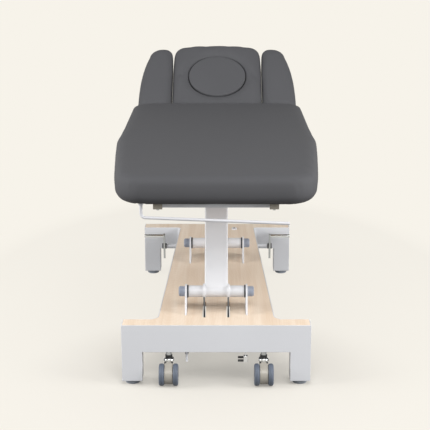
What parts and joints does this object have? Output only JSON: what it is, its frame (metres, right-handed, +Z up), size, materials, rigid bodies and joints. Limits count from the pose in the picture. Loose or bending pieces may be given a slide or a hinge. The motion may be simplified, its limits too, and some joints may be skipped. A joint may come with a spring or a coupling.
{
  "type": "spa treatment bed",
  "caption": "Electric height-adjustable treatment couch: tapered upholstered top, tilting head section with face hole and arm pads, two lift arms, wood-panelled steel base.",
  "frame": {"origin": "on the floor, below the middle of the couch's bounding box, at the stored height", "axes": "+Z up, +Y towards the head end, +X to the right seen from the foot end"},
  "size_m": [0.746, 1.9328, 0.9436],
  "materials": {
    "painted_steel": "light grey powder coat, satin",
    "white_steel": "white powder coat, satin",
    "maple": "pale maple laminate, grain along the couch",
    "plywood": "bare birch plywood",
    "upholstery": "dark grey vinyl-coated fabric over foam, fine grain, satin",
    "grey_plastic": "blue-grey moulded plastic",
    "rubber_foot": "slate grey rubber",
    "tyre": "blue-grey soft tread",
    "cream_plastic": "cream moulded plastic",
    "chrome": "bright chrome plate",
    "black_plastic": "black moulded plastic, fine grain"
  },
  "bodies": {
    "base": {"front_frame": "painted_steel", "rear_frame": "painted_steel", "spine_tray": "painted_steel", "wood_inlay": "maple", "actuator_housing": "black_plastic", "control_box": "black_plastic", "mains_inlet": "black_plastic", "foot_front_left": "rubber_foot", "foot_front_right": "rubber_foot", "foot_rear_left": "rubber_foot", "foot_rear_right": "rubber_foot", "pivot_plate_front_left": "painted_steel", "pivot_plate_front_right": "painted_steel", "pivot_plate_rear_left": "painted_steel", "pivot_plate_rear_right": "painted_steel", "pivot_bush_front_left": "grey_plastic", "pivot_bush_front_right": "grey_plastic", "pivot_bush_rear_left": "grey_plastic", "pivot_bush_rear_right": "grey_plastic", "pivot_cap_front_left": "grey_plastic", "pivot_cap_front_right": "grey_plastic", "pivot_cap_rear_left": "grey_plastic", "pivot_cap_rear_right": "grey_plastic"},
    "front_arm": {"front_arm": "painted_steel"},
    "rear_arm": {"rear_arm": "painted_steel"},
    "actuator_rod": {"actuator_rod": "chrome"},
    "top": {"top_frame": "painted_steel", "main_board": "plywood", "main_cushion": "upholstery", "head_hinge_pin": "chrome"},
    "head": {"head_frame": "painted_steel", "head_board": "plywood", "head_cushion": "upholstery"},
    "plug": {"face_plug": "upholstery"},
    "arm_left": {"arm_frame_left": "painted_steel", "arm_board_left": "plywood", "arm_pad_left": "upholstery"},
    "arm_right": {"arm_frame_right": "painted_steel", "arm_board_right": "plywood", "arm_pad_right": "upholstery"},
    "gas_cylinder": {"gas_spring_cylinder": "black_plastic"},
    "gas_rod": {"gas_spring_rod": "chrome"},
    "paddle": {"release_paddle": "black_plastic"},
    "paper_rod": {"roll_rod": "white_steel"},
    "pedals": {"pedal_shaft": "chrome", "pedal_left": "chrome", "pedal_right": "chrome"},
    "running_gear": {"caster_frame": "painted_steel"},
    "caster_front_left": {"caster_fork_front_left": "cream_plastic"},
    "roller_front_left_left": {"wheel_front_left_left": "tyre"},
    "roller_front_left_right": {"wheel_front_left_right": "tyre"},
    "caster_front_right": {"caster_fork_front_right": "cream_plastic"},
    "roller_front_right_left": {"wheel_front_right_left": "tyre"},
    "roller_front_right_right": {"wheel_front_right_right": "tyre"},
    "caster_rear_left": {"caster_fork_rear_left": "cream_plastic"},
    "roller_rear_left_left": {"wheel_rear_left_left": "tyre"},
    "roller_rear_left_right": {"wheel_rear_left_right": "tyre"},
    "caster_rear_right": {"caster_fork_rear_right": "cream_plastic"},
    "roller_rear_right_left": {"wheel_rear_right_left": "tyre"},
    "roller_rear_right_right": {"wheel_rear_right_right": "tyre"}
  },
  "joints": [
    {"name": "lift", "type": "hinge", "parent": "base", "child": "front_arm", "pos_m": [0, -0.67671, 0.279], "axis": [1, 0, 0], "range_deg": [-45, 25]},
    {"name": "rear_arm_swing", "type": "hinge", "parent": "base", "child": "rear_arm", "pos_m": [0, -0.06871, 0.279], "axis": [1, 0, 0], "range_deg": [-45.1, 25.1]},
    {"name": "top_level", "type": "hinge", "parent": "front_arm", "child": "top", "pos_m": [0, -0.46811, 0.60021], "axis": [1, 0, 0], "range_deg": [-25.1, 45.1]},
    {"name": "actuator_stroke", "type": "slide", "parent": "base", "child": "actuator_rod", "axis": [0, 1, 0], "range_m": [-0.0923, 0.0513]},
    {"name": "head_tilt", "type": "hinge", "parent": "top", "child": "head", "pos_m": [0, 0.63279, 0.64], "axis": [1, 0, 0], "range_deg": [-65.5, 4.5]},
    {"name": "gas_spring_swing", "type": "hinge", "parent": "top", "child": "gas_cylinder", "pos_m": [0.138, 0.61279, 0.59], "axis": [1, 0, 0], "range_deg": [-49.8, 3.5]},
    {"name": "gas_spring_stroke", "type": "slide", "parent": "gas_cylinder", "child": "gas_rod", "axis": [0, 0.7501, 0.6613], "range_m": [-0.0427, 0.003]},
    {"name": "release_paddle_squeeze", "type": "hinge", "parent": "head", "child": "paddle", "pos_m": [0, 0.92767, 0.83277], "axis": [1, 0, 0], "range_deg": [0, 15], "stiffness_Nm_per_rad": 0.6, "springref_deg": -20.05},
    {"name": "arm_pad_left_drop", "type": "hinge", "parent": "head", "child": "arm_left", "pos_m": [-0.216, 0.65594, 0.66265], "axis": [1, 0, 0], "range_deg": [-60, 0]},
    {"name": "arm_pad_right_drop", "type": "hinge", "parent": "head", "child": "arm_right", "pos_m": [0.216, 0.65594, 0.66265], "axis": [1, 0, 0], "range_deg": [-60, 0]},
    {"name": "face_plug_lift", "type": "slide", "parent": "head", "child": "plug", "axis": [0, -0.5807, 0.8141], "range_m": [0, 0.09]},
    {"name": "roll_rod_swing", "type": "hinge", "parent": "top", "child": "paper_rod", "pos_m": [-0.24, -0.88671, 0.64], "axis": [0, 0, 1], "range_deg": [-80, 9]},
    {"name": "pedal_press", "type": "hinge", "parent": "base", "child": "pedals", "pos_m": [0, 0.35329, 0.1453], "axis": [1, 0, 0], "range_deg": [0, 60]},
    {"name": "caster_frame_drop", "type": "slide", "parent": "base", "child": "running_gear", "axis": [0, 0, -1], "range_m": [0, 0.01201]},
    {"name": "swivel_front_left", "type": "hinge", "parent": "running_gear", "child": "caster_front_left", "pos_m": [-0.16, -0.80721, 0.1], "axis": [0, 0, 1], "continuous": true},
    {"name": "roll_front_left_left", "type": "hinge", "parent": "caster_front_left", "child": "roller_front_left_left", "pos_m": [-0.16, -0.83821, 0.0375], "axis": [1, 0, 0], "continuous": true},
    {"name": "roll_front_left_right", "type": "hinge", "parent": "caster_front_left", "child": "roller_front_left_right", "pos_m": [-0.16, -0.83821, 0.0375], "axis": [1, 0, 0], "continuous": true},
    {"name": "swivel_front_right", "type": "hinge", "parent": "running_gear", "child": "caster_front_right", "pos_m": [0.16, -0.80721, 0.1], "axis": [0, 0, 1], "continuous": true},
    {"name": "roll_front_right_left", "type": "hinge", "parent": "caster_front_right", "child": "roller_front_right_left", "pos_m": [0.16, -0.83821, 0.0375], "axis": [1, 0, 0], "continuous": true},
    {"name": "roll_front_right_right", "type": "hinge", "parent": "caster_front_right", "child": "roller_front_right_right", "pos_m": [0.16, -0.83821, 0.0375], "axis": [1, 0, 0], "continuous": true},
    {"name": "swivel_rear_left", "type": "hinge", "parent": "running_gear", "child": "caster_rear_left", "pos_m": [-0.16, 0.43979, 0.1], "axis": [0, 0, 1], "continuous": true},
    {"name": "roll_rear_left_left", "type": "hinge", "parent": "caster_rear_left", "child": "roller_rear_left_left", "pos_m": [-0.16, 0.40879, 0.0375], "axis": [1, 0, 0], "continuous": true},
    {"name": "roll_rear_left_right", "type": "hinge", "parent": "caster_rear_left", "child": "roller_rear_left_right", "pos_m": [-0.16, 0.40879, 0.0375], "axis": [1, 0, 0], "continuous": true},
    {"name": "swivel_rear_right", "type": "hinge", "parent": "running_gear", "child": "caster_rear_right", "pos_m": [0.16, 0.43979, 0.1], "axis": [0, 0, 1], "continuous": true},
    {"name": "roll_rear_right_left", "type": "hinge", "parent": "caster_rear_right", "child": "roller_rear_right_left", "pos_m": [0.16, 0.40879, 0.0375], "axis": [1, 0, 0], "continuous": true},
    {"name": "roll_rear_right_right", "type": "hinge", "parent": "caster_rear_right", "child": "roller_rear_right_right", "pos_m": [0.16, 0.40879, 0.0375], "axis": [1, 0, 0], "continuous": true}
  ],
  "couplings": [
    {"joint": "rear_arm_swing", "follows": "lift", "ratio": 1},
    {"joint": "top_level", "follows": "lift", "ratio": -1},
    {"joint": "actuator_stroke", "follows": "lift", "m_per_rad": 0.11738},
    {"joint": "gas_spring_swing", "follows": "head_tilt", "ratio": 0.758},
    {"joint": "gas_spring_stroke", "follows": "head_tilt", "m_per_rad": 0.03726},
    {"joint": "caster_frame_drop", "follows": "pedal_press", "m_per_rad": 0.011459}
  ]
}
